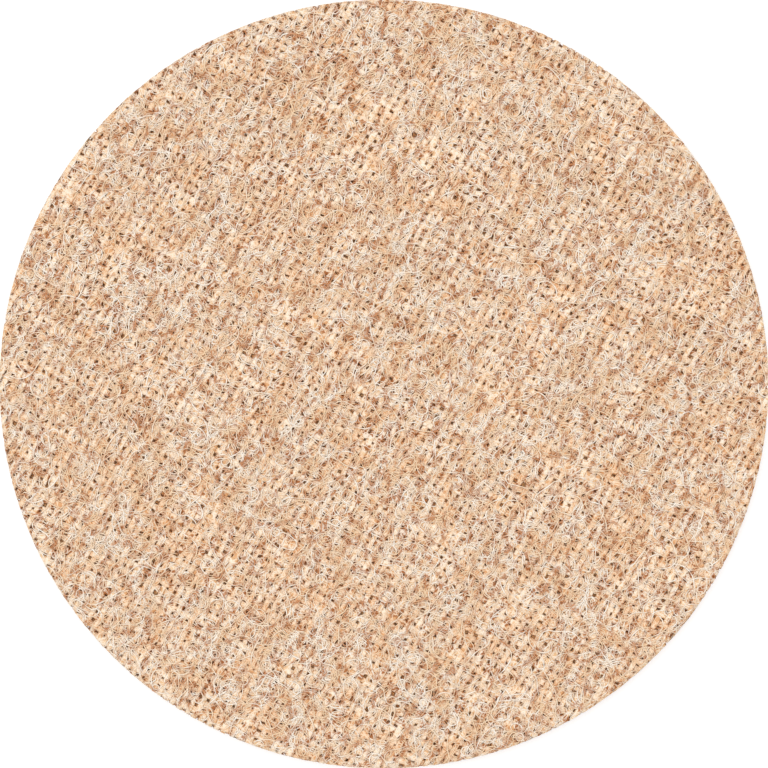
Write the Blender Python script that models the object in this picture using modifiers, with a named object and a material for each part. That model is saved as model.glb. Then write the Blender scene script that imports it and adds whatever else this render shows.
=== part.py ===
"""Surface conditioning disc: a die-cut round of nonwoven abrasive web with a woven scrim needled to it.

The disc lies on its working face. The scrim, whose needled loops grip a hook pad, is on top.
The origin is the centre of the working face, +Z runs up through the disc, and lengths are in metres.
"""

import math
import random

import bmesh
import bpy
from mathutils import Matrix

# The disc
DISC_DIAMETER = 0.125
RIM_FACETS = 128

# The abrasive web, a lofty mat of fibre, resin and mineral
WEB_THICKNESS = 0.004
RIM_ROUNDING = 0.0005
ROUNDING_STEPS = 2

# The scrim, a plain-weave cloth: warp yarns show above its wall and weft yarns below
SCRIM_WALL = 0.0003
YARN_RELIEF = 0.0002
WARP_PITCH = 0.00134
WEFT_PITCH = 0.00143
WARP_GROOVE = 0.00048
WEFT_GROOVE = 0.00050
YARN_FACETS = 3
WEAVE_ANGLE = math.radians(60.9)
SEAT_GAP = 0.0003

# The gaps between yarns that the needled fibres leave open: one in each block of warp and weft yarns
GAP_INSET = 0.00003
BLOCK_WARPS = 7
BLOCK_WEFTS = 8
GAP_RIM_MARGIN = 0.0015
GAP_SEED = 11

# Surface finishes, as linear colours
WEB_COLOUR = (0.33, 0.17, 0.08, 1.0)
SCRIM_COLOUR = (0.80, 0.60, 0.36, 1.0)
WEB_ROUGHNESS = 0.85
SCRIM_ROUGHNESS = 0.75

# Room that a cutter needs past the faces it cuts
CUT_MARGIN = 0.001

disc_radius = DISC_DIAMETER / 2
scrim_bottom = WEB_THICKNESS + SEAT_GAP
scrim_thickness = SCRIM_WALL + 2 * YARN_RELIEF
wall_middle = scrim_bottom + scrim_thickness / 2


def clear_scene():
    for old in list(bpy.data.objects):
        bpy.data.objects.remove(old)


def new_collection(name):
    made = bpy.data.collections.new(name)
    bpy.context.scene.collection.children.link(made)
    return made


def move_to(collection, piece):
    for old in list(piece.users_collection):
        old.objects.unlink(piece)
    collection.objects.link(piece)


def make_material(name, colour, roughness):
    material = bpy.data.materials.new(name)
    material.use_nodes = True
    shader = material.node_tree.nodes["Principled BSDF"]
    shader.inputs["Base Color"].default_value = colour
    shader.inputs["Roughness"].default_value = roughness
    shader.inputs["Metallic"].default_value = 0.0
    return material


def make_round(name, collection, bottom, height):
    """The disc's own round outline, as a cylinder that stands on the height bottom."""
    bpy.ops.mesh.primitive_cylinder_add(
        vertices=RIM_FACETS,
        radius=disc_radius,
        depth=height,
        location=(0, 0, bottom + height / 2),
    )
    piece = bpy.context.object
    piece.name = name
    move_to(collection, piece)
    return piece


def hide_cutter(piece):
    piece.hide_render = True
    piece.display_type = "WIRE"


def add_boolean(piece, operation, cutter):
    step = piece.modifiers.new(operation.title() + " " + cutter.name, "BOOLEAN")
    step.operation = operation
    step.object = cutter


def yarn_arch(centre, width, height):
    """The outline of one yarn: points of a half ellipse, scaled so that its flat crown has the full height."""
    crown = math.sin(math.pi * (YARN_FACETS // 2) / YARN_FACETS)
    points = []
    for step in range(YARN_FACETS + 1):
        angle = math.pi * (1 - step / YARN_FACETS)
        points.append((centre + width / 2 * math.cos(angle), height * math.sin(angle) / crown))
    return points


def make_ridged_sheet(name, collection, pitch, groove, side):
    """Half the scrim's thickness and more, with one ridge a yarn on its outer face.

    The section is drawn in the sheet's own XZ plane and run along its Y axis. side is 1 for ridges on
    top and -1 for ridges underneath, which then run across the first ones.
    """
    half_count = math.ceil((disc_radius + CUT_MARGIN) / pitch)
    outline = []
    for yarn in range(-half_count, half_count + 1):
        outline += yarn_arch(yarn * pitch, pitch - groove, YARN_RELIEF)
    overlap = SCRIM_WALL * 0.75
    section = [(x, side * (SCRIM_WALL / 2 + z)) for x, z in outline]
    section += [(outline[-1][0], side * (SCRIM_WALL / 2 - overlap))]
    section += [(outline[0][0], side * (SCRIM_WALL / 2 - overlap))]

    curve = bpy.data.curves.new(name + " section", "CURVE")
    curve.dimensions = "2D"
    curve.fill_mode = "BOTH"
    curve.extrude = disc_radius + CUT_MARGIN
    spline = curve.splines.new("POLY")
    spline.points.add(len(section) - 1)
    for point, (x, z) in zip(spline.points, section):
        point.co = (x, z, 0, 1)
    spline.use_cyclic_u = True
    drawn = bpy.data.objects.new(name + " section", curve)
    collection.objects.link(drawn)
    bpy.context.view_layer.update()

    evaluated = drawn.evaluated_get(bpy.context.evaluated_depsgraph_get())
    mesh = bpy.data.meshes.new_from_object(evaluated)
    weld_caps(mesh)
    bpy.data.objects.remove(drawn)
    turn = WEAVE_ANGLE - math.radians(90) if side > 0 else WEAVE_ANGLE
    sheet = bpy.data.objects.new(name, mesh)
    sheet.matrix_world = (
        Matrix.Translation((0, 0, wall_middle))
        @ Matrix.Rotation(turn, 4, "Z")
        @ Matrix.Rotation(math.radians(90), 4, "X")
    )
    collection.objects.link(sheet)
    return sheet


def weld_caps(mesh):
    """A filled curve's caps are loose, so they are welded to its walls and the faces are turned out."""
    work = bmesh.new()
    work.from_mesh(mesh)
    bmesh.ops.remove_doubles(work, verts=work.verts, dist=1e-7)
    bmesh.ops.recalc_face_normals(work, faces=work.faces)
    work.to_mesh(mesh)
    work.free()


def open_gap_sites():
    """Centres of the open gaps in the weave's own axes: across the warp yarns, then across the weft yarns."""
    chooser = random.Random(GAP_SEED)
    reach = disc_radius - GAP_RIM_MARGIN
    blocks_x = math.ceil(reach / (BLOCK_WARPS * WARP_PITCH))
    blocks_y = math.ceil(reach / (BLOCK_WEFTS * WEFT_PITCH))
    sites = []
    for block_x in range(-blocks_x, blocks_x):
        for block_y in range(-blocks_y, blocks_y):
            warp = block_x * BLOCK_WARPS + chooser.randrange(BLOCK_WARPS)
            weft = block_y * BLOCK_WEFTS + chooser.randrange(BLOCK_WEFTS)
            x, y = (warp + 0.5) * WARP_PITCH, (weft + 0.5) * WEFT_PITCH
            if math.hypot(x, y) < reach:
                sites.append((x, y))
    return sites


def make_gap_cutters(collection):
    """One upright box for each open gap, as wide as the grooves that cross there, less a small inset."""
    size_x = WARP_GROOVE - 2 * GAP_INSET
    size_y = WEFT_GROOVE - 2 * GAP_INSET
    size_z = scrim_thickness + 2 * CUT_MARGIN
    work = bmesh.new()
    for x, y in open_gap_sites():
        place = Matrix.Translation((x, y, 0)) @ Matrix.Diagonal((size_x, size_y, size_z, 1))
        bmesh.ops.create_cube(work, size=1, matrix=place)
    mesh = bpy.data.meshes.new("gap cutters")
    work.to_mesh(mesh)
    work.free()
    cutters = bpy.data.objects.new("gap cutters", mesh)
    cutters.location = (0, 0, wall_middle)
    cutters.rotation_euler = (0, 0, WEAVE_ANGLE - math.radians(90))
    collection.objects.link(cutters)
    return cutters


def make_abrasive_web(parts):
    """The mat of fibre: a round whose two rims are softened by the die that cut it."""
    web = make_round("abrasive_web", parts, 0, WEB_THICKNESS)
    softened = web.modifiers.new("Softened rims", "BEVEL")
    softened.width = RIM_ROUNDING
    softened.segments = ROUNDING_STEPS
    softened.limit_method = "ANGLE"
    softened.angle_limit = math.radians(60)
    web.data.materials.append(make_material("resin coated fibre", WEB_COLOUR, WEB_ROUGHNESS))
    web.data.shade_smooth()
    web.data.set_sharp_from_angle(angle=math.radians(40))
    return web


def make_woven_scrim(parts, cutters):
    """The cloth: warp ridges over weft ridges, cut to the disc's round, with the open gaps pierced."""
    scrim = make_ridged_sheet("woven_scrim", parts, WARP_PITCH, WARP_GROOVE, 1)
    weft = make_ridged_sheet("weft sheet", cutters, WEFT_PITCH, WEFT_GROOVE, -1)
    die = make_round("die", cutters, scrim_bottom - CUT_MARGIN, scrim_thickness + 2 * CUT_MARGIN)
    gaps = make_gap_cutters(cutters)
    for piece in (weft, die, gaps):
        hide_cutter(piece)
    add_boolean(scrim, "UNION", weft)
    add_boolean(scrim, "INTERSECT", die)
    add_boolean(scrim, "DIFFERENCE", gaps)
    scrim.data.materials.append(make_material("cream yarn", SCRIM_COLOUR, SCRIM_ROUGHNESS))
    return scrim


def main():
    clear_scene()
    parts = new_collection("surface conditioning disc")
    cutters = new_collection("cutters")
    make_abrasive_web(parts)
    make_woven_scrim(parts, cutters)
    bpy.context.view_layer.update()


main()
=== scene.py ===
"""The looks of the surface conditioning disc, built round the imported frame.

The photograph looks straight down on the face that grips the pad: a cream plain-weave scrim under needled
fibres, with the brown coated web behind its gaps. Lengths are in millimetres until a mesh is made.
"""

import math

import bpy
import numpy as np
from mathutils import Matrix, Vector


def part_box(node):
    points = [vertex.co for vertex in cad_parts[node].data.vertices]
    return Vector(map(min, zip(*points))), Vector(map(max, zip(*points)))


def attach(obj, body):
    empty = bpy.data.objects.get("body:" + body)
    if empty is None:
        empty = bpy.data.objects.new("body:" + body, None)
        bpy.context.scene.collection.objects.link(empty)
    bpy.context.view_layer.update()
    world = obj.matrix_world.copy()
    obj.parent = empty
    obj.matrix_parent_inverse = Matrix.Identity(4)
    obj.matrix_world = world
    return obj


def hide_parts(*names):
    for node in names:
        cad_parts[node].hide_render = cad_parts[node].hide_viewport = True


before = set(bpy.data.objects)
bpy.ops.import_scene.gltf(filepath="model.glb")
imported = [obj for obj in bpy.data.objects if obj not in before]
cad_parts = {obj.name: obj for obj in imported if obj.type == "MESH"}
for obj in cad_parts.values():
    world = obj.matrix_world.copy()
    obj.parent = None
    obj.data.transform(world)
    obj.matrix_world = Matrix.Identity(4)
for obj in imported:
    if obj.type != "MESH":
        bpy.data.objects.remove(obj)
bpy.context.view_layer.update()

MM = 0.001
SEED = 2688

# The frame's own measures
scrim_low, scrim_high = (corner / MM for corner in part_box("woven_scrim"))
web_low, web_high = (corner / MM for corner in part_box("abrasive_web"))
RADIUS = scrim_high.x
CLOTH_MIDDLE = (scrim_low.z + scrim_high.z) / 2
CLOTH_TOP = scrim_high.z
WEB_TOP = web_high.z

# The weave, measured on the photograph
WARP_TURN = math.radians(60.4)
WEFT_TURN = math.radians(-28.6)
WARP_PITCH, WEFT_PITCH = 1.341, 1.426
WARP_WIDTH, WEFT_WIDTH = 1.04, 1.17
WEFT_SINK = 0.06

# How far yarns lie from their true places: each one's own error, a slow drift, a wobble along it, which
# each next yarn has WOBBLE_APART further on, and a slip of the whole cloth
WARP_ERROR, WEFT_ERROR = 0.075, 0.11
DRIFT = 0.03
WOBBLE, WOBBLE_WAVE, WOBBLE_APART = 0.07, 9.0, 3
SLIP_AHEAD, SLIP_AHEAD_WAVE = 0.20, 15.0
SLIP_ASIDE, SLIP_ASIDE_WAVE = 0.08, 30.0

# A yarn's section, for half its width and half its height, how much its width varies, and how far apart
# two neighbours' filaments are in the noise that draws them
YARN_SECTION = np.array([(1, -0.35), (0.55, 1), (-0.55, 1), (-1, -0.35)])
YARN_HEIGHT = 0.36
YARN_LIFT = (CLOTH_TOP - CLOTH_MIDDLE) - YARN_HEIGHT / 2
GIRTH_OF_YARN, GIRTH_OF_CROSSING = 0.07, 0.09
CROWN = 0.06
LAY_APART = 7.0

# A yarn's end: how near the rim a yarn may lie, how near its end it still crosses another, and how far
# past the rim it is drawn before the die cuts it back
RIM_CLEARANCE = 0.3
CROSSING_CLEARANCE = 0.2
OVERSHOOT = 0.3
CUT_MARGIN = 0.05

# A fibre has three sides, one of them turned to the viewer
FIBRE_SECTION = np.array([(0, -1), (0.87, 0.5), (-0.87, 0.5)])
TIP_SHARE, TAPER_RUN = 0.6, 1.5
UNEVEN = (0.75, 1.15)

# A lying fibre's curve: its bend comes and goes, a finer wave rides on it, and it sways up and down and
# dives at both ends. It starts up to RIM_SPARE outside the rim and is cut FIBRE_MARGIN inside it.
FINE_STEPS = 64
BEND_CHANGE, BEND_RATE = 0.5, 0.35
FINE_WAVE, FINE_SHARE = 0.06, 0.43
SWAY, SWAY_WAVE = 0.07, (1.6, 3.2)
DIVE_RUN = 1.2
RIM_SPARE, FIBRE_MARGIN = 2.0, 0.02
SHORTEST_STRETCH = 0.8

# The needled fibres on the scrim: layers with the heights that they pass over the cloth, and how much their
# stain and painted shade darken them at the patches and blots
FUZZ_LAYERS = (
    ("low", -0.03, 0.05, 1.0),
    ("middle", 0.0, 0.10, 0.85),
    ("upper", 0.03, 0.13, 0.6),
    ("high", 0.06, 0.18, 0.25),
)
FUZZ_COUNT, FUZZ_SEGMENTS = 2650, 10
FUZZ_THICKNESS = (0.13, 0.235)
FUZZ_FEET = (CLOTH_TOP - 0.5, CLOTH_TOP - 0.1)
FUZZ_SHAPE = {"length": (4.0, 9.0), "curl": (0.3, 1.1), "crimp": (0.15, 0.5), "wave": (4.0, 8.0)}

# Where they lie: the share of tries that become a fibre, the least it falls to, and how it varies in clumps
FUZZ_SHARE, FUZZ_LEAST = 0.62, 0.1
FUZZ_CLUMPS, CLUMP_WAVE = 0.20, 4.0
FUZZ_BROAD, BROAD_WAVE = 0.12, 14.0
FUZZ_ALONG_WARP = 0.55

# The coated fibres of the working face, underneath, whose middles keep off the floor by a share of the
# most thickness
FACE_COUNT, FACE_SEGMENTS = 2100, 10
FACE_THICKNESS = (0.20, 0.34)
FACE_HEIGHTS, FACE_FEET, FACE_CLEARANCE = (0.10, 0.30), (0.45, 0.7), 0.6
FACE_SHAPE = {"length": (6.0, 12.0), "curl": (0.1, 0.7), "crimp": (0.3, 0.8), "wave": (4.0, 9.0)}

# The coated fibres round the side, between the two faces
SIDE_LOW, SIDE_HIGH = 0.12, scrim_low.z + 0.32
SIDE_COUNT, SIDE_SEGMENTS = 1500, 9
SIDE_THICKNESS = (0.14, 0.26)
SIDE_LENGTH, SIDE_WAVE = (4.0, 9.0), (4.0, 8.0)
SIDE_SLOPE, SIDE_BEND, SIDE_CRIMP = 0.7, 0.35, 0.6
SIDE_INSET, SIDE_DEPTH, SIDE_DIVE = 0.12, 0.3, 0.35
SIDE_SWAY, SIDE_SWAY_RATE, SIDE_SWAY_PHASE = 0.1, 2.2, 9
SIDE_UNEVEN = (0.8, 1.15)

# The web's core stands just off the floor, reaches up to the scrim and stays inside the side fibres. Its
# faces' rings lie closer together further out, and its lumps are a flat field that slides with height.
CORE_LOW, CORE_HIGH = web_low.z + 0.02, WEB_TOP + 0.42
CORE_RADIUS = RADIUS - 0.35
CORE_SPOKES, CORE_TOP_RINGS, CORE_LOW_RINGS, CORE_SIDE_RINGS = 220, 30, 52, 4
CORE_SHOULDER, CORE_FOOT = 0.8, 1.2
TOP_FILLET, LOW_FILLET = 0.15, 0.5
FIRST_RING = 0.0004
LUMP_DEPTH, LUMP_WAVE, LUMP_LIMIT = 0.18, 2.4, 1.5
LUMP_SLIDE = (11, 7)

# Each piece's own picture, a map on which a fibre has a strip of its own. A strip's bare
# ends and its caps are in pixels, and its bare edges are a share of its width.
MAP_PIXELS = 1024
FIBRE_COLUMNS = 27
STRIP_END, CAP_BULGE = 2.5, 1.5
STRIP_EDGE = 0.1

# The stage. FRAMING is half the picture's width over the disc's radius in it, both in pixels.
FLOOR_SIZE = 4000.0
FLOOR_GLOW = 0.3
WORLD_LIGHT = 0.72
LAMP_LIGHT, LAMP_ANGLE = 1.5, math.radians(60)
LAMP_TURN = (math.radians(-9), math.radians(-7), 0)
LENS, SENSOR = 100.0, 36.0
FRAMING = 384.0 / 384.6


def smooth_field(rng, wavelength, waves=20):
    """A function of x and y that wanders about 0 with a spread of 1, over about the given wavelength."""
    turns = rng.uniform(0, 2 * math.pi, waves)
    rates = 2 * math.pi / (wavelength * rng.uniform(0.7, 1.5, waves))
    phases = rng.uniform(0, 2 * math.pi, waves)

    def field(x, y):
        total = np.zeros(np.shape(x))
        for turn, rate, phase in zip(turns, rates, phases):
            total += np.cos(rate * (x * math.cos(turn) + y * math.sin(turn)) + phase)
        return total / math.sqrt(waves / 2)

    return field


def ease(value):
    value = np.clip(value, 0, 1)
    return value * value * (3 - 2 * value)


def tones(rng, count, points):
    """One tone for each fibre, given to all its points."""
    return {"tone": np.repeat(rng.uniform(0, 1, count), points)}


def cut_yarns(points, run):
    """Brings each point beyond the die's cut back to it along the yarns' run."""
    along = points[:, :2] @ np.array([math.cos(run), math.sin(run)])
    aside = points[:, :2] @ np.array([-math.sin(run), math.cos(run)])
    aside = np.clip(aside, -RADIUS + CUT_MARGIN, RADIUS - CUT_MARGIN)
    most = np.sqrt(RADIUS**2 - aside**2)
    along = np.clip(along, -most, most)
    x = along * math.cos(run) - aside * math.sin(run)
    y = along * math.sin(run) + aside * math.cos(run)
    return np.column_stack([x, y, points[:, 2]])


def strip_map(counts, columns):
    """Where a tube's corners lie on a map that gives each tube a strip of its own.

    The strips fill that many columns. What comes back takes ring numbers, shares of the way round and a
    nudge lengthwise in pixels.
    """
    rows = -(-len(counts) // columns)
    tube = np.repeat(np.arange(len(counts)), counts)
    along = np.arange(len(tube)) - np.repeat(np.cumsum(counts) - counts, counts)
    along = along / np.repeat(counts - 1, counts)
    pixel = columns / MAP_PIXELS

    def place(ring, share, nudge=0.0):
        u = tube[ring] % columns + (STRIP_END + nudge) * pixel + (1 - 2 * STRIP_END * pixel) * along[ring]
        v = tube[ring] // columns + STRIP_EDGE + (1 - 2 * STRIP_EDGE) * share
        return np.stack(np.broadcast_arrays(u / columns, v / rows), axis=-1)

    return place


def tube_spots(counts, columns, corners, linked, firsts, lasts):
    """The map's place of each corner of the tubes' walls, their starts and their ends, in that order."""
    place = strip_map(counts, columns)
    ring, turn = linked[:, None], np.arange(corners)
    near, far = turn / corners, (turn + 1) / corners
    walls = [place(ring, near), place(ring, far), place(ring + 1, far), place(ring + 1, near)]
    bulge = CAP_BULGE * (turn % 3 > 0)
    starts = place(firsts[:, None], 1 - near, -bulge)[:, ::-1]
    ends = place(lasts[:, None], 1 - near, bulge)
    return np.concatenate([part.reshape(-1, 2) for part in (np.stack(walls, axis=2), starts, ends)])


def tube_mesh(name, centres, sides, ups, section, counts, tags, columns, cut=None, smooth=False):
    """One mesh of many closed tubes.

    Each ring has a centre, a side and an up vector whose lengths scale the section. counts says how many
    rings each tube has, and tags gives named values of each ring, as numbers or as vectors.
    """
    corners = len(section)
    points = centres[:, None] + section[:, :1] * sides[:, None] + section[:, 1:] * ups[:, None]
    points = points.reshape(-1, 3)
    if cut is not None:
        points = cut_yarns(points, cut)
    lasts = np.cumsum(counts) - 1
    firsts = lasts - counts + 1
    linked = np.setdiff1d(np.arange(len(centres)), lasts)
    here = linked[:, None] * corners + np.arange(corners)
    beside = linked[:, None] * corners + (np.arange(corners) + 1) % corners
    walls = np.stack([here, beside, beside + corners, here + corners], axis=-1).reshape(-1)
    caps = np.concatenate([
        (firsts[:, None] * corners + np.arange(corners)[::-1]).reshape(-1),
        (lasts[:, None] * corners + np.arange(corners)).reshape(-1),
    ])
    loops = np.concatenate([walls, caps])
    sizes = np.concatenate([np.full(len(walls) // 4, 4), np.full(len(caps) // corners, corners)])
    tags = {key: np.repeat(value, corners, axis=0) for key, value in tags.items()}
    spots = tube_spots(counts, columns, corners, linked, firsts, lasts)
    return new_piece(name, points, loops, sizes, tags, smooth, spots)


def new_piece(name, points, loops, sizes, tags, smooth=False, spots=None):
    """A mesh object. loops lists the faces' corners in turn, and sizes says how many each face has."""
    mesh = bpy.data.meshes.new(name)
    mesh.vertices.add(len(points))
    mesh.vertices.foreach_set("co", (points * MM).astype(np.float32).ravel())
    mesh.loops.add(len(loops))
    mesh.loops.foreach_set("vertex_index", loops.astype(np.int32))
    mesh.polygons.add(len(sizes))
    mesh.polygons.foreach_set("loop_start", (np.cumsum(sizes) - sizes).astype(np.int32))
    mesh.update(calc_edges=True)
    if smooth:
        mesh.shade_smooth()
    if spots is not None:
        layer = mesh.uv_layers.new(name="OFBake", do_init=False)
        layer.uv.foreach_set("vector", spots.astype(np.float32).ravel())
    for key, value in tags.items():
        kind, word = ("FLOAT", "value") if value.ndim == 1 else ("FLOAT_VECTOR", "vector")
        made = mesh.attributes.new(key, kind, "POINT")
        made.data.foreach_set(word, value.astype(np.float32).ravel())
    piece = bpy.data.objects.new(name, mesh)
    bpy.context.scene.collection.objects.link(piece)
    return piece


def yarn_offsets(rng, pitch, error):
    """Where the yarns of one family lie across their run: a true pitch, less the loom's small errors."""
    count = int(RADIUS / pitch) + 1
    index = np.arange(-count, count + 1)
    drift = np.cumsum(rng.normal(0, DRIFT, len(index)))
    drift -= np.linspace(drift[0], drift[-1], len(index))
    return index, index * pitch + drift + rng.normal(0, error, len(index))


def make_yarns(name, rng, run, across, own, other, over, width, sink, bend):
    """One family of yarns, which pass over and under the other family's and end at the die's cut.

    run and across are the turns of this family and of the other, and own and other their yarns' numbers
    and offsets. over is 0 or 1 for the family that is on top where the two numbers' sum is even or odd.
    """
    (own_index, own_offset), (other_index, other_offset) = own, other
    run_vector = np.array([math.cos(run), math.sin(run)])
    own_normal = np.array([-math.sin(run), math.cos(run)])
    other_normal = np.array([-math.sin(across), math.cos(across)])
    centres, sides, ups, counts, tone, lay = [], [], [], [], [], []
    wobble = smooth_field(rng, WOBBLE_WAVE)
    for index, offset in zip(own_index, own_offset):
        if abs(offset) > RADIUS - RIM_CLEARANCE:
            continue
        half = math.sqrt(RADIUS**2 - offset**2) - CUT_MARGIN
        cross = (other_offset - offset * own_normal.dot(other_normal)) / run_vector.dot(other_normal)
        order = np.argsort(cross)
        height = np.where((index + other_index) % 2 == over, 1.0, -1.0)[order]
        cross = cross[order]
        skew = width / 2 * abs(offset) / half
        along = cross[np.abs(cross) < half - CROSSING_CLEARANCE - skew]
        end = half + skew + OVERSHOOT
        along = np.concatenate([[-end], along, [end]])
        lift = np.interp(along, cross, height)
        place = along[:, None] * run_vector + offset * own_normal
        place += WOBBLE * wobble(place[:, 0] + WOBBLE_APART * index, place[:, 1])[:, None] * own_normal
        place += bend(place)
        z = CLOTH_MIDDLE + YARN_LIFT * lift - sink
        girth = rng.normal(1, GIRTH_OF_YARN) * (1 + CROWN * np.abs(lift))
        girth = girth * rng.normal(1, GIRTH_OF_CROSSING, len(along))
        centres.append(np.column_stack([place, z]))
        sides.append(np.outer(girth * width / 2, [*own_normal, 0]))
        ups.append(np.outer(np.full(len(along), YARN_HEIGHT / 2), [0, 0, 1]))
        counts.append(len(along))
        tone.append(np.full(len(along), rng.uniform(0, 1)))
        lay.append(np.column_stack([along, np.full(len(along), LAY_APART * index), lift]))
    tags = {"tone": np.concatenate(tone), "lay": np.concatenate(lay)}
    stacked = [np.concatenate(part) for part in (centres, sides, ups)]
    return tube_mesh(name, *stacked, YARN_SECTION, np.array(counts), tags, columns=1, cut=run, smooth=True)


def curly_lines(rng, count, length, curl, crimp, wave, density):
    """Curly lines in a plane, each as FINE_STEPS + 1 points, with their headings and their lengths so far."""
    spread = RADIUS + RIM_SPARE
    starts = np.empty((0, 2))
    while len(starts) < count:
        tried = rng.uniform(-spread, spread, (count, 2))
        tried = tried[np.hypot(*tried.T) < spread]
        wanted = density(tried[:, 0], tried[:, 1])
        starts = np.concatenate([starts, tried[rng.uniform(0, 1, len(tried)) < wanted]])
    starts = starts[:count]
    lengths = rng.uniform(*length, count)
    gone = np.linspace(0, 1, FINE_STEPS + 1) * lengths[:, None]
    turn = rng.uniform(0, 2 * math.pi, (count, 1))
    bent = rng.uniform(*curl, (count, 1)) * rng.choice([-1, 1], (count, 1))
    turn = turn + bent * gone * (1 + BEND_CHANGE * np.sin(gone * BEND_RATE + rng.uniform(0, 6, (count, 1))))
    waves = rng.uniform(*wave, (count, 1))
    for most, period in ((rng.uniform(*crimp, (count, 1)), waves), (FINE_WAVE, waves * FINE_SHARE)):
        turn = turn + most * np.sin(2 * math.pi * gone / period + rng.uniform(0, 2 * math.pi, (count, 1)))
    step = np.diff(gone, axis=1)
    ahead = (turn[:, 1:] + turn[:, :-1]) / 2
    x = starts[:, :1] + np.cumsum(np.cos(ahead) * step, axis=1)
    y = starts[:, 1:] + np.cumsum(np.sin(ahead) * step, axis=1)
    x = np.concatenate([starts[:, :1], x], axis=1)
    y = np.concatenate([starts[:, 1:], y], axis=1)
    return x, y, turn, gone


def cut_to_disc(x, y, turn, gone, segments, rim):
    """The first stretch of each line inside the rim, as segments + 1 even points."""
    inside = np.hypot(x, y) < rim
    steps = np.arange(FINE_STEPS + 1)
    first = np.argmax(inside, axis=1)
    left = ~inside & (steps > first[:, None])
    last = np.where(left.any(axis=1), np.argmax(left, axis=1) - 1, FINE_STEPS)
    kept = inside.any(axis=1) & (gone[:, -1] * (last - first) / FINE_STEPS > SHORTEST_STRETCH)
    x, y, turn, gone, first, last = (part[kept] for part in (x, y, turn, gone, first, last))
    wanted = first[:, None] + (last - first)[:, None] * np.linspace(0, 1, segments + 1)
    low = np.minimum(wanted.astype(int), FINE_STEPS - 1)
    share = wanted - low

    def read(part):
        return np.take_along_axis(part, low, 1) * (1 - share) + np.take_along_axis(part, low + 1, 1) * share

    return read(x), read(y), read(turn), read(gone)


def lying_fibres(name, rng, count, segments, shape, heights, feet, thickness, density, face=1):
    """Fibres that lie about on a face, each between two feet where it dives in. face is 1 for the top."""
    lines = curly_lines(rng, count, density=density, **shape)
    x, y, turn, gone = cut_to_disc(*lines, segments, RADIUS - FIBRE_MARGIN)
    count = len(x)
    gone = gone - gone[:, :1]
    to_end = np.minimum(gone, gone[:, -1:] - gone)
    top = rng.uniform(*heights, (count, 1))
    foot = rng.uniform(*feet, (count, 1))
    z = foot + (top - foot) * ease(to_end / DIVE_RUN)
    sway_wave = rng.uniform(*SWAY_WAVE, (count, 1))
    z = z + SWAY * np.sin(gone * 2 * math.pi / sway_wave + rng.uniform(0, 6, (count, 1)))
    if face < 0:
        z = np.maximum(z, FACE_CLEARANCE * thickness[1])
    centres = np.stack([x, y, z], axis=-1).reshape(-1, 3)
    radius = rng.uniform(*thickness, (count, 1)) / 2
    radius = radius * (TIP_SHARE + (1 - TIP_SHARE) * ease(to_end / TAPER_RUN))
    radius = (radius * rng.uniform(*UNEVEN, x.shape)).reshape(-1, 1)
    heading = turn.reshape(-1)
    sides = np.column_stack([-np.sin(heading), np.cos(heading), np.zeros(len(heading))]) * radius * face
    ups = np.tile([0.0, 0.0, 1.0 * face], (len(heading), 1)) * radius
    tags = tones(rng, count, segments + 1)
    counts = np.full(count, segments + 1)
    return tube_mesh(name, centres, sides, ups, FIBRE_SECTION, counts, tags, columns=FIBRE_COLUMNS)


def side_fibres(name, rng, count, segments, thickness):
    """Fibres that the die has cut through, lying in curls round the disc's side."""
    length = rng.uniform(*SIDE_LENGTH, (count, 1))
    gone = np.linspace(0, 1, segments + 1) * length
    waves = rng.uniform(*SIDE_WAVE, (count, 1))
    slope = rng.normal(0, SIDE_SLOPE, (count, 1)) + rng.normal(0, SIDE_BEND, (count, 1)) * gone
    slope = slope + SIDE_CRIMP * np.sin(2 * math.pi * gone / waves + rng.uniform(0, 6, (count, 1)))
    step = np.diff(gone, axis=1)
    middle = (slope[:, 1:] + slope[:, :-1]) / 2
    start = np.zeros((count, 1))
    round_way = np.concatenate([start, np.cumsum(np.cos(middle) * step, axis=1)], axis=1)
    round_way = (round_way + rng.uniform(0, 2 * math.pi * RADIUS, (count, 1))) / RADIUS
    climb = np.concatenate([start, np.cumsum(np.sin(middle) * step, axis=1)], axis=1)
    climb = climb + rng.uniform(SIDE_LOW, SIDE_HIGH, (count, 1))
    share = np.abs((climb - SIDE_LOW) / (SIDE_HIGH - SIDE_LOW)) % 2.0
    height = SIDE_LOW + (SIDE_HIGH - SIDE_LOW) * (1 - np.abs(1 - share))
    reach = RADIUS - SIDE_INSET - rng.uniform(0, SIDE_DEPTH, (count, 1))
    reach = reach - SIDE_SWAY * np.sin(gone * SIDE_SWAY_RATE + waves * SIDE_SWAY_PHASE)
    reach = reach - SIDE_DIVE * (1 - ease(np.minimum(gone, length - gone) / DIVE_RUN))
    outward = np.stack([np.cos(round_way), np.sin(round_way), np.zeros_like(round_way)], axis=-1)
    centres = reach[..., None] * outward
    centres[..., 2] = height
    heading = np.gradient(centres, axis=1)
    heading /= np.linalg.norm(heading, axis=-1, keepdims=True)
    radius = (rng.uniform(*thickness, (count, 1)) / 2 * rng.uniform(*SIDE_UNEVEN, gone.shape))[..., None]
    sides = np.cross(outward, heading) * radius
    tags = tones(rng, count, segments + 1)
    stacked = [part.reshape(-1, 3) for part in (centres, sides, outward * radius)]
    counts = np.full(count, segments + 1)
    return tube_mesh(name, *stacked, FIBRE_SECTION, counts, tags, columns=FIBRE_COLUMNS)


def face_rings(count, radius):
    """The radii of rings on a flat face, from near its centre out, with equal areas between them."""
    return np.sqrt(np.linspace(FIRST_RING, 1, count)) * radius


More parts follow.
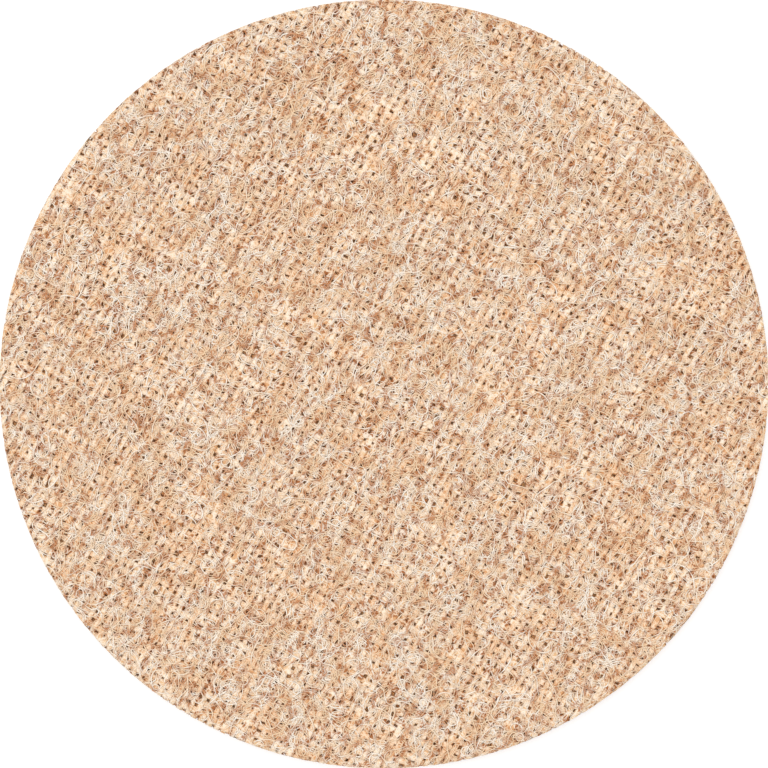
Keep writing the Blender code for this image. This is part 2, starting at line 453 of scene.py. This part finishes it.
def core_profile(bottom, top, radius):
    """The core's rings, from its top's centre out, down its side and back.

    Each is a radius, a height, and how far the lumps push it out and up.
    """
    rings = [(r, top, 0, 1) for r in face_rings(CORE_TOP_RINGS, radius - TOP_FILLET)]
    turns = np.radians([30, 60, 90])
    for a in turns:
        out, up = math.sin(a), math.cos(a)
        height = top - TOP_FILLET + TOP_FILLET * up
        rings.append((radius - TOP_FILLET + TOP_FILLET * out, height, out, up))
    sides = np.linspace(top - CORE_SHOULDER, bottom + CORE_FOOT, CORE_SIDE_RINGS)
    rings += [(radius, z, 1, 0) for z in sides]
    for a in turns[::-1]:
        out, up = math.sin(a), math.cos(a)
        height = bottom + LOW_FILLET - LOW_FILLET * up
        rings.append((radius - LOW_FILLET + LOW_FILLET * out, height, out, -up))
    return rings + [(r, bottom, 0, -1) for r in face_rings(CORE_LOW_RINGS, radius - LOW_FILLET)[::-1]]


def make_core(name, rng, bottom, top, radius):
    """The mat's dense middle: one closed lumpy round."""
    spokes = CORE_SPOKES
    turns = np.arange(spokes) * 2 * math.pi / spokes
    lump = smooth_field(rng, LUMP_WAVE, 30)
    profile = core_profile(bottom, top, radius)
    points = []
    for r, z, push_out, push_up in profile:
        x, y = r * np.cos(turns), r * np.sin(turns)
        raised = lump(x + LUMP_SLIDE[0] * z, y + LUMP_SLIDE[1] * z)
        dent = LUMP_DEPTH * (1 + np.clip(raised, -LUMP_LIMIT, LUMP_LIMIT) / LUMP_LIMIT)
        shrink = (r - dent * push_out) / r
        points.append(np.column_stack([x * shrink, y * shrink, z - dent * push_up]))
    poles = np.array([(0, 0, points[0][:, 2].mean()), (0, 0, points[-1][:, 2].mean())])
    points = np.concatenate([*points, poles])
    ring = np.arange(spokes)
    after = (ring + 1) % spokes
    lows = np.arange(len(profile) - 1)[:, None] * spokes
    walls = np.stack([lows + ring, lows + spokes + ring, lows + spokes + after, lows + after], axis=-1)
    first, last = len(points) - 2, len(points) - 1
    edge = (len(profile) - 1) * spokes
    top_fan = np.column_stack([np.full(spokes, first), ring, after])
    low_fan = np.column_stack([np.full(spokes, last), edge + after, edge + ring])
    loops = np.concatenate([part.reshape(-1) for part in (walls, top_fan, low_fan)])
    sizes = np.concatenate([np.full(walls.size // 4, 4), np.full(2 * spokes, 3)])
    return new_piece(name, points, loops, sizes, {}, smooth=True)


def paint(red, green, blue):
    """A colour as read off a screen, from 0 to 255, made linear."""
    shares = [value / 255 for value in (red, green, blue)]
    return (*[s / 12.92 if s <= 0.04045 else ((s + 0.055) / 1.055) ** 2.4 for s in shares], 1.0)


class Shading:
    """One material's nodes. A socket that is given is linked, and anything else sets the input's value."""

    def __init__(self, name, roughness, specular):
        self.material = bpy.data.materials.new(name)
        self.material.use_nodes = True
        self.nodes = self.material.node_tree.nodes
        self.surface = self.nodes["Principled BSDF"]
        self.surface.inputs["Roughness"].default_value = roughness
        self.surface.inputs["Specular IOR Level"].default_value = specular

    def feed(self, socket, value):
        if isinstance(value, bpy.types.NodeSocket):
            self.material.node_tree.links.new(value, socket)
        else:
            socket.default_value = value

    def add(self, kind, inputs, out=0, **settings):
        node = self.nodes.new("ShaderNode" + kind)
        for key, value in settings.items():
            setattr(node, key, value)
        for key, value in inputs.items():
            self.feed(node.inputs[key], value)
        return node.outputs[out]

    def place(self):
        """Object coordinates in millimetres."""
        spot = self.add("TexCoord", {}, "Object")
        return self.add("VectorMath", {0: spot, "Scale": 1 / MM}, operation="SCALE")

    def height(self, spot):
        return self.add("SeparateXYZ", {0: spot}, 2)

    def tag(self, name, out="Fac"):
        return self.add("Attribute", {}, out, attribute_name=name)

    def vector(self, operation, first, second):
        return self.add("VectorMath", {0: first, 1: second}, operation=operation)

    def noise(self, spot, scale, detail=0.0, out="Fac"):
        inputs = {"Vector": spot, "Scale": scale, "Detail": detail}
        return self.add("TexNoise", inputs, out)

    def math(self, operation, first, second):
        return self.add("Math", {0: first, 1: second}, operation=operation)

    def between(self, value, low, high, to_low=0.0, to_high=1.0):
        inputs = {"Value": value, 1: low, 2: high, 3: to_low, 4: to_high}
        return self.add("MapRange", inputs, interpolation_type="SMOOTHSTEP")

    def mix(self, share, first, second, strength=None):
        """first, with the given share of second. strength makes that share smaller."""
        if strength is not None:
            share = self.math("MULTIPLY", share, strength)
        return self.add("Mix", {0: share, 6: first, 7: second}, 2, data_type="RGBA", blend_type="MIX")

    def lines(self, spot, scale, width, rise=0.15):
        """Thin curly lines, like fibres that lie flat, and the shade beside them.

        They run where any of three noises passes its middle value. rise is how much the noises change with
        height.
        """
        flat = self.vector("MULTIPLY", spot, (1.0, 1.0, rise))
        cloud = self.noise(flat, scale, 0.6, "Color")
        middle = self.vector("SUBTRACT", cloud, (0.5, 0.5, 0.5))
        away = self.add("VectorMath", {0: middle}, operation="ABSOLUTE")
        apart = self.add("SeparateXYZ", {0: away})
        nearest = self.math("MINIMUM", apart, apart.node.outputs[1])
        nearest = self.math("MINIMUM", nearest, apart.node.outputs[2])
        pale = self.between(nearest, 0.0, width * 1.25, 1.0, 0.0)
        return pale, self.between(nearest, width, width * 3.5, 1.0, 0.0)

    def stains(self, spot):
        """Where the resin has soaked through: broad patches and small blots, the same on every material.

        Both are drawn out along the warp. On the needled fibres the blots are partly painted shade as well.
        """
        turned = self.add("VectorRotate", {"Vector": spot, "Angle": -WARP_TURN})
        drawn = self.vector("MULTIPLY", turned, (0.7, 1.0, 1.0))
        patches = self.noise(drawn, 0.5, 2.0)
        blots = self.noise(self.vector("ADD", drawn, (31, 7, 3)), 0.85, 1.0)
        return self.between(patches, 0.42, 0.64), self.between(blots, 0.49, 0.62)

    def bump(self, height, distance, strength):
        made = self.add("Bump", {"Height": height, "Distance": distance * MM, "Strength": strength})
        self.feed(self.surface.inputs["Normal"], made)

    def finish(self, colour):
        self.feed(self.surface.inputs["Base Color"], colour)
        return self.material


def yarn_material():
    """Cream yarn: filaments along it, resin stain in patches, and finer fibres stuck flat on it."""
    shade = Shading("cream_yarn", 0.75, 0.3)
    spot = shade.place()
    stretched = shade.vector("MULTIPLY", shade.tag("lay", "Vector"), (0.8, 1.0, 0.0))
    filament = shade.noise(shade.vector("ADD", spot, stretched), 3.0, 1.0)
    patch, blot = shade.stains(spot)
    cream = shade.mix(shade.tag("tone"), paint(226, 184, 137), paint(243, 211, 171))
    colour = shade.mix(patch, cream, paint(217, 158, 106), strength=0.85)
    colour = shade.mix(blot, colour, paint(168, 104, 56))
    sparse = shade.lines(shade.vector("ADD", spot, (5, 50, 9)), 0.55, 0.026)
    dense = shade.lines(shade.vector("ADD", spot, (77, 3, 1)), 0.9, 0.036)
    pale, beside = (shade.math("MAXIMUM", one, other) for one, other in zip(sparse, dense))
    # Painted shade: the yarn is darker just beside the painted fibres, as if each cast a thin shadow on it.
    colour = shade.mix(beside, colour, paint(184, 138, 104), strength=0.1)
    thread = shade.mix(patch, paint(254, 241, 222), paint(249, 222, 190))
    colour = shade.mix(pale, colour, thread, strength=0.85)
    # Lower down, where the yarn dips into the weave's hollows, it turns browner: partly resin gathered there,
    # partly painted shade.
    low_resin_and_shade = shade.between(shade.height(spot), CLOTH_TOP - 0.55, CLOTH_TOP - 0.25, 0.75, 0.0)
    colour = shade.mix(low_resin_and_shade, colour, paint(200, 136, 84))
    relief = shade.math("ADD", filament, shade.math("MULTIPLY", pale, 0.6))
    shade.bump(relief, 0.12, 0.35)
    return shade.finish(colour)


def fibre_material(name, pale, warm, dark, stain_and_shade):
    """Needled fibre: each has its own tone, and it is darker and browner at its foot and under the blots,
    partly from resin and partly as painted shade.
    """
    shade = Shading(name, 0.55, 0.4)
    spot = shade.place()
    colour = shade.mix(shade.between(shade.tag("tone"), 0.45, 0.95, 0.0, 0.7), pale, warm)
    # Spots along each fibre turn warmer and darker: partly resin specks, partly painted shade as of a fibre
    # passing in and out of shadow.
    specks = shade.between(shade.noise(spot, 1.1, 1.0), 0.5, 0.66, 0.0, 0.3)
    colour = shade.mix(specks, colour, warm)
    patch, blot = shade.stains(spot)
    colour = shade.mix(patch, colour, warm, strength=0.55 + 0.4 * stain_and_shade)
    # At the blots a fibre turns dark: partly resin stain, partly painted shade as if it dipped into the mat,
    # most on the low layers.
    colour = shade.mix(blot, colour, dark, strength=stain_and_shade)
    # Below the cloth's top a fibre's foot turns dark: partly resin from the web below, partly painted shade
    # in the gap it dives into.
    low_resin_and_shade = shade.between(shade.height(spot), CLOTH_TOP - 0.5, CLOTH_TOP, 0.6, 0.0)
    colour = shade.mix(low_resin_and_shade, colour, dark)
    return shade.finish(colour)


def web_material(name, light, middle, dark):
    """Resin-coated fibre with mineral grain."""
    shade = Shading(name, 0.7, 0.35)
    spot = shade.place()
    grain = shade.noise(spot, 7.0, 1.5)
    pale = shade.lines(spot, 1.2, 0.045, rise=1.0)[0]
    colour = shade.mix(shade.between(shade.noise(spot, 0.7, 2.0), 0.35, 0.65), dark, middle)
    colour = shade.mix(pale, colour, light, strength=0.6)
    colour = shade.mix(shade.between(grain, 0.6, 0.7, 0.0, 0.5), colour, light)
    shade.bump(shade.math("ADD", grain, pale), 0.2, 0.8)
    return shade.finish(colour)


def coated_material(name, light, middle, dark):
    """A strand coated with resin, in which mineral grains stand."""
    shade = Shading(name, 0.6, 0.4)
    spot = shade.place()
    grain = shade.noise(spot, 9.0, 1.0)
    colour = shade.mix(shade.between(shade.tag("tone"), 0.1, 0.9), light, middle)
    colour = shade.mix(shade.between(shade.noise(spot, 0.5, 2.0), 0.45, 0.65), colour, dark)
    colour = shade.mix(shade.between(grain, 0.56, 0.66, 0.0, 0.7), colour, light)
    shade.bump(grain, 0.1, 0.7)
    return shade.finish(colour)


def make_floor():
    """A pale floor that looks white to the camera and keeps the disc's shadow."""
    corners = [(-FLOOR_SIZE, -FLOOR_SIZE, 0), (FLOOR_SIZE, -FLOOR_SIZE, 0),
               (FLOOR_SIZE, FLOOR_SIZE, 0), (-FLOOR_SIZE, FLOOR_SIZE, 0)]
    floor = new_piece("floor", np.array(corners), np.arange(4), np.array([4]), {})
    shade = Shading("pale_floor", 0.9, 0.0)
    shade.finish(paint(236, 236, 236))
    seen = shade.add("LightPath", {}, "Is Camera Ray")
    for ray in ("Is Glossy Ray", "Is Transmission Ray"):
        seen = shade.math("MAXIMUM", seen, shade.add("LightPath", {}, ray))
    shade.feed(shade.surface.inputs["Emission Strength"], shade.math("MULTIPLY", seen, FLOOR_GLOW))
    shade.surface.inputs["Emission Color"].default_value = (1, 1, 1, 1)
    floor.data.materials.append(shade.material)


def make_lights():
    """An even white world, which the camera sees as pure white, and one broad lamp."""
    world = bpy.data.worlds.new("studio")
    bpy.context.scene.world = world
    world.use_nodes = True
    tree = world.node_tree
    tree.nodes["Background"].inputs["Color"].default_value = (1, 1, 1, 1)
    path = tree.nodes.new("ShaderNodeLightPath")
    glow = tree.nodes.new("ShaderNodeMapRange")
    glow.inputs["To Min"].default_value, glow.inputs["To Max"].default_value = WORLD_LIGHT, 1.0
    tree.links.new(path.outputs["Is Camera Ray"], glow.inputs["Value"])
    tree.links.new(glow.outputs["Result"], tree.nodes["Background"].inputs["Strength"])
    lamp = bpy.data.lights.new("softbox", "SUN")
    lamp.energy = LAMP_LIGHT
    lamp.angle = LAMP_ANGLE
    lit = bpy.data.objects.new("softbox", lamp)
    lit.rotation_euler = LAMP_TURN
    bpy.context.scene.collection.objects.link(lit)


def make_camera():
    """Straight above, where the disc's top face is 769 px across in a picture of 768."""
    lens = bpy.data.cameras.new("overhead")
    lens.lens, lens.sensor_width = LENS, SENSOR
    camera = bpy.data.objects.new("overhead", lens)
    camera.location = (0, 0, (CLOTH_TOP + RADIUS * FRAMING / (SENSOR / 2 / LENS)) * MM)
    lens.clip_start, lens.clip_end = 0.01, 10.0
    bpy.context.scene.collection.objects.link(camera)
    bpy.context.scene.camera = camera


def wear(piece, material, slot, *nodes):
    """Gives a piece its material, its body and the CAD nodes that it replaces. slot is not used."""
    piece.data.materials.append(material)
    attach(piece, "root")
    if nodes:
        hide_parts(*nodes)


def make_scrim(rng):
    """The woven cloth: warp yarns and weft yarns, which slip together."""
    warp, weft = yarn_offsets(rng, WARP_PITCH, WARP_ERROR), yarn_offsets(rng, WEFT_PITCH, WEFT_ERROR)
    slip_ahead = smooth_field(rng, SLIP_AHEAD_WAVE, 30)
    slip_aside = smooth_field(rng, SLIP_ASIDE_WAVE)
    ahead = np.array([math.cos(WARP_TURN), math.sin(WARP_TURN)])
    aside = np.array([-ahead[1], ahead[0]])

    def bend(place):
        along = SLIP_AHEAD * np.outer(slip_ahead(*place.T), ahead)
        return along + SLIP_ASIDE * np.outer(slip_aside(*place.T), aside)

    over = make_yarns("warp_yarns", rng, WARP_TURN, WEFT_TURN, warp, weft, 0, WARP_WIDTH, 0.0, bend)
    under = make_yarns("weft_yarns", rng, WEFT_TURN, WARP_TURN, weft, warp, 1, WEFT_WIDTH, WEFT_SINK, bend)
    material = yarn_material()
    wear(over, material, "scrim_yarn", "woven_scrim")
    wear(under, material, "scrim_yarn")
    return over, under


def make_fuzz(rng):
    """The needled fibres on the scrim, in clumps drawn out along the warp."""
    clump, broad = smooth_field(rng, CLUMP_WAVE, 30), smooth_field(rng, BROAD_WAVE)

    def density(x, y):
        ahead = FUZZ_ALONG_WARP * (x * math.cos(WARP_TURN) + y * math.sin(WARP_TURN))
        aside = y * math.cos(WARP_TURN) - x * math.sin(WARP_TURN)
        share = FUZZ_SHARE + FUZZ_CLUMPS * clump(ahead, aside) + FUZZ_BROAD * broad(ahead, aside)
        return np.clip(share, FUZZ_LEAST, 1)

    pale, warm, dark = paint(254, 243, 229), paint(243, 208, 167), paint(204, 139, 92)
    for layer, low, high, stain_and_shade in FUZZ_LAYERS:
        piece = lying_fibres(
            "needled_fibres_" + layer, rng, FUZZ_COUNT, FUZZ_SEGMENTS, FUZZ_SHAPE,
            (CLOTH_TOP + low, CLOTH_TOP + high), FUZZ_FEET, FUZZ_THICKNESS, density,
        )
        wear(piece, fibre_material("needled_fibre_" + layer, pale, warm, dark, stain_and_shade), "scrim_yarn")


def make_web(rng):
    """The coated mat: its core, the fibres of its working face underneath, and those round its side."""
    light, middle, dark = paint(250, 203, 146), paint(238, 167, 104), paint(198, 121, 62)
    core = make_core("web_core", rng, CORE_LOW, CORE_HIGH, CORE_RADIUS)
    wear(core, web_material("coated_fibre", light, middle, dark), "coated_web", "abrasive_web")

    def everywhere(x, y):
        return np.ones_like(x)

    coated = coated_material("coated_strand", paint(222, 168, 118), paint(186, 128, 82), paint(134, 84, 48))
    under = lying_fibres(
        "working_face_fibres", rng, FACE_COUNT, FACE_SEGMENTS, FACE_SHAPE,
        FACE_HEIGHTS, FACE_FEET, FACE_THICKNESS, everywhere, face=-1,
    )
    wear(under, coated, "coated_web")
    around = side_fibres("side_fibres", rng, SIDE_COUNT, SIDE_SEGMENTS, SIDE_THICKNESS)
    wear(around, coated, "coated_web")
    return core


def main():
    rng = np.random.default_rng(SEED)
    make_camera()
    make_lights()
    make_floor()
    core = make_web(rng)
    over, under = make_scrim(rng)
    make_fuzz(rng)
    bpy.context.scene.view_settings.view_transform = "Standard"


main()
bpy.context.view_layer.update()
